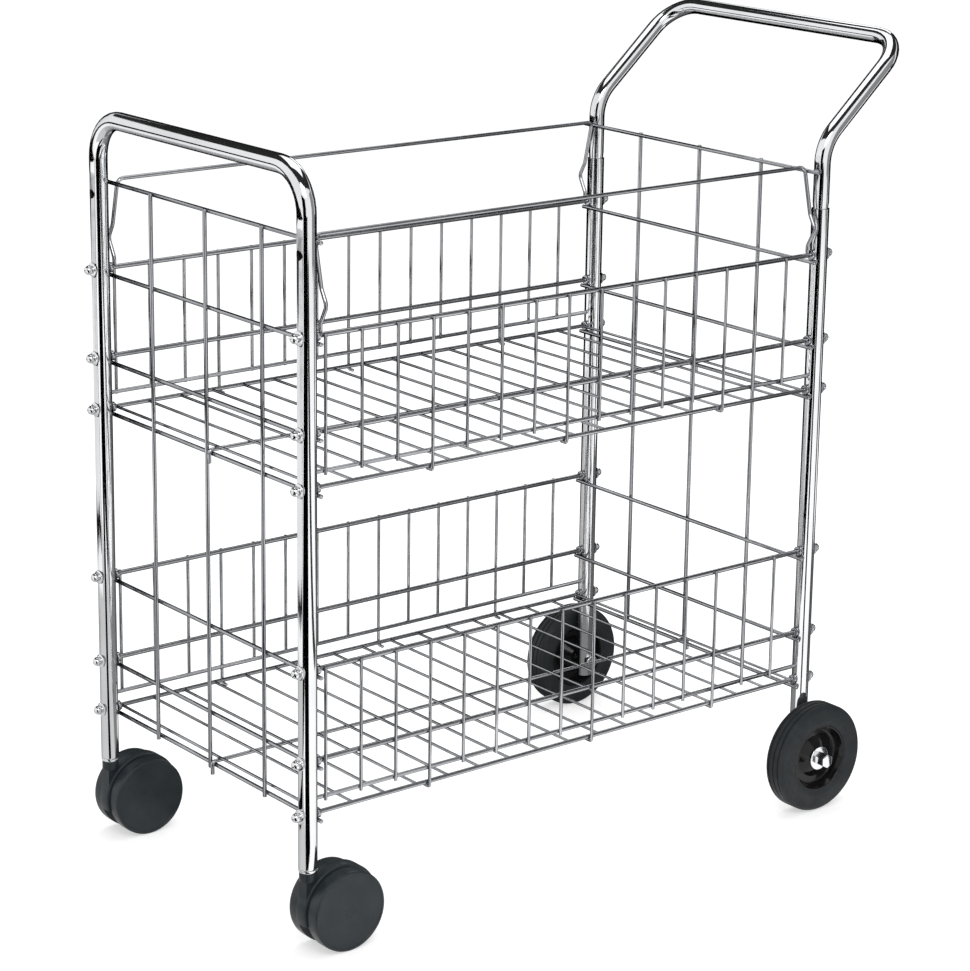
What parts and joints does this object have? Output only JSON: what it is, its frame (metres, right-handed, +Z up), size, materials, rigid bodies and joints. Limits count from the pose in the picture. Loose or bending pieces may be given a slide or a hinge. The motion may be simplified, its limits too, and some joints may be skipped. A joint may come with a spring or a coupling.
{
  "type": "mail cart",
  "caption": "Wire mail cart with stacked open baskets on a tube frame, a slanted push handle, swivelling casters in front and large fixed wheels behind.",
  "frame": {"origin": "On the floor, under the middle of the cart's bounding box.", "axes": "+X runs from the front casters to the push handle, +Y to the far side, +Z up."},
  "size_m": [0.944, 0.543, 0.9963],
  "materials": {
    "tube_chrome": "bright chromed steel tube",
    "wire_chrome": "bright chromed steel wire",
    "screw_chrome": "bright chromed fasteners",
    "caster_plastic": "dark moulded plastic, slightly rough",
    "axle_steel": "turned steel",
    "tyre_rubber": "dark rubber, slightly worn",
    "rim_paint": "gloss black paint"
  },
  "bodies": {
    "frame": {"front_frame": "tube_chrome", "rear_leg_near": "tube_chrome", "rear_leg_far": "tube_chrome", "handle": "tube_chrome", "front_end_panel": "wire_chrome", "rear_end_panel": "wire_chrome", "upper_side_near": "wire_chrome", "upper_side_far": "wire_chrome", "lower_side_near": "wire_chrome", "lower_side_far": "wire_chrome", "upper_floor": "wire_chrome", "lower_floor": "wire_chrome", "file_rail_near": "wire_chrome", "file_rail_far": "wire_chrome", "screw_front_near_1": "screw_chrome", "screw_front_near_2": "screw_chrome", "screw_front_near_3": "screw_chrome", "screw_front_near_4": "screw_chrome", "screw_front_near_5": "screw_chrome", "screw_front_near_6": "screw_chrome", "screw_front_far_1": "screw_chrome", "screw_front_far_2": "screw_chrome", "screw_front_far_3": "screw_chrome", "screw_front_far_4": "screw_chrome", "screw_front_far_5": "screw_chrome", "screw_front_far_6": "screw_chrome", "screw_rear_near_1": "screw_chrome", "screw_rear_near_2": "screw_chrome", "screw_rear_near_3": "screw_chrome", "screw_rear_near_4": "screw_chrome", "screw_rear_near_5": "screw_chrome", "screw_rear_near_6": "screw_chrome", "screw_rear_far_1": "screw_chrome", "screw_rear_far_2": "screw_chrome", "screw_rear_far_3": "screw_chrome", "screw_rear_far_4": "screw_chrome", "screw_rear_far_5": "screw_chrome", "screw_rear_far_6": "screw_chrome", "caster_socket_near": "screw_chrome", "axle_bolt_near": "screw_chrome", "axle_washer_near": "screw_chrome", "axle_nut_near": "screw_chrome", "caster_socket_far": "screw_chrome", "axle_bolt_far": "screw_chrome", "axle_washer_far": "screw_chrome", "axle_nut_far": "screw_chrome"},
    "caster_near": {"caster_body_near": "caster_plastic", "caster_axle_near": "axle_steel"},
    "caster_wheel_near_a": {"caster_wheel_near_a": "caster_plastic"},
    "caster_wheel_near_b": {"caster_wheel_near_b": "caster_plastic"},
    "rear_wheel_near": {"tyre_near": "tyre_rubber", "rim_near": "rim_paint"},
    "caster_far": {"caster_body_far": "caster_plastic", "caster_axle_far": "axle_steel"},
    "caster_wheel_far_a": {"caster_wheel_far_a": "caster_plastic"},
    "caster_wheel_far_b": {"caster_wheel_far_b": "caster_plastic"},
    "rear_wheel_far": {"tyre_far": "tyre_rubber", "rim_far": "rim_paint"}
  },
  "joints": [
    {"name": "caster_near_swivel", "type": "hinge", "parent": "frame", "child": "caster_near", "pos_m": [-0.45021, -0.215, 0.101], "axis": [0, 0, 1], "continuous": true},
    {"name": "caster_wheel_near_a_roll", "type": "hinge", "parent": "caster_near", "child": "caster_wheel_near_a", "pos_m": [-0.40921, -0.215, 0.049], "axis": [0, 1, 0], "continuous": true},
    {"name": "caster_wheel_near_b_roll", "type": "hinge", "parent": "caster_near", "child": "caster_wheel_near_b", "pos_m": [-0.40921, -0.215, 0.049], "axis": [0, 1, 0], "continuous": true},
    {"name": "rear_wheel_near_roll", "type": "hinge", "parent": "frame", "child": "rear_wheel_near", "pos_m": [0.32679, -0.215, 0.071], "axis": [0, 1, 0], "continuous": true},
    {"name": "caster_far_swivel", "type": "hinge", "parent": "frame", "child": "caster_far", "pos_m": [-0.45021, 0.215, 0.101], "axis": [0, 0, 1], "continuous": true},
    {"name": "caster_wheel_far_a_roll", "type": "hinge", "parent": "caster_far", "child": "caster_wheel_far_a", "pos_m": [-0.40921, 0.215, 0.049], "axis": [0, 1, 0], "continuous": true},
    {"name": "caster_wheel_far_b_roll", "type": "hinge", "parent": "caster_far", "child": "caster_wheel_far_b", "pos_m": [-0.40921, 0.215, 0.049], "axis": [0, 1, 0], "continuous": true},
    {"name": "rear_wheel_far_roll", "type": "hinge", "parent": "frame", "child": "rear_wheel_far", "pos_m": [0.32679, 0.215, 0.071], "axis": [0, 1, 0], "continuous": true}
  ]
}
